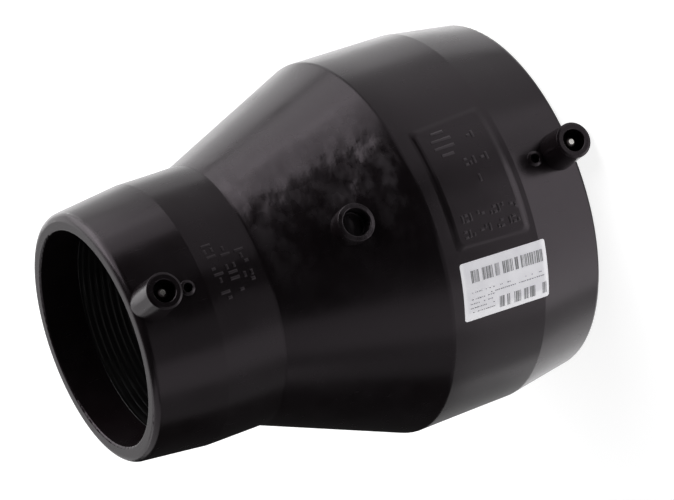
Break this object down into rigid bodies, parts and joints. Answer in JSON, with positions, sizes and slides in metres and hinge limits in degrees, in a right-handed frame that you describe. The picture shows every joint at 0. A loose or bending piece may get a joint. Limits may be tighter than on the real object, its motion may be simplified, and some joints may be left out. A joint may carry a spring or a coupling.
{
  "type": "electrofusion reducer",
  "caption": "Black polyethylene electrofusion reducer: a large and a small pipe socket joined by a cone, with shrouded terminals, fusion indicators, a raised marking panel and a white label.",
  "frame": {"origin": "on the pipe axis, in the plane of the large mouth, on which the part stands", "axes": "+Z along the pipe axis from the large mouth up to the small mouth; +X towards the side that carries both terminals, both fusion indicators, the gate boss and the raised panel"},
  "size_m": [0.1728, 0.16, 0.1935],
  "materials": {
    "black_polyethylene": "satin moulded",
    "wire_coat": "satin",
    "terminal_brass": "tinned",
    "label_paper": "matt film"
  },
  "bodies": {
    "root": {"reducer_body": "black_polyethylene", "heating_wire": "wire_coat", "large_terminal_pin": "terminal_brass", "small_terminal_pin": "terminal_brass", "large_fusion_indicator": "black_polyethylene", "small_fusion_indicator": "black_polyethylene", "label": "label_paper"}
  },
  "joints": []
}
